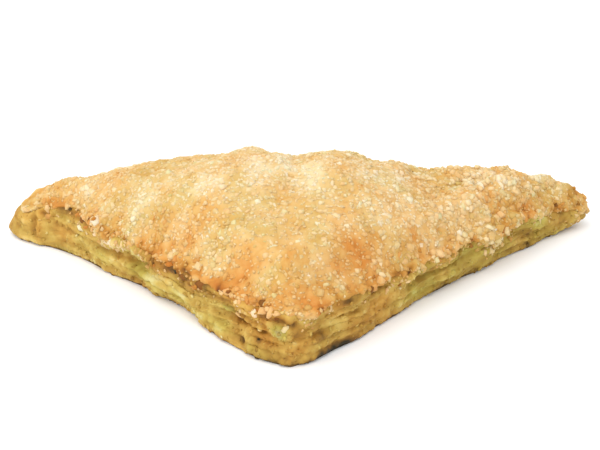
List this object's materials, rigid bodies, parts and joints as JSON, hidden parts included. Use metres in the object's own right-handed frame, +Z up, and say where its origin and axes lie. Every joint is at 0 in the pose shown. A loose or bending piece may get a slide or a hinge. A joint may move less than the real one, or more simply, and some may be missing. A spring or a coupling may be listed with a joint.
{
  "type": "apple turnover",
  "caption": "Baked triangular puff-pastry turnover, folded corner to corner over a fruit filling, with flaky cut edges and a coarse sugar crust.",
  "frame": {"origin": "on the underside, below the middle of the bounding box", "axes": "+Z up from the underside, +X along the closed fold, -Y towards the corner where the two cut edges meet"},
  "size_m": [0.1723, 0.0861, 0.0355],
  "materials": {
    "baked_pastry": "dry baked crust, golden, with sugar"
  },
  "bodies": {
    "root": {"turnover": "baked_pastry"}
  },
  "joints": []
}
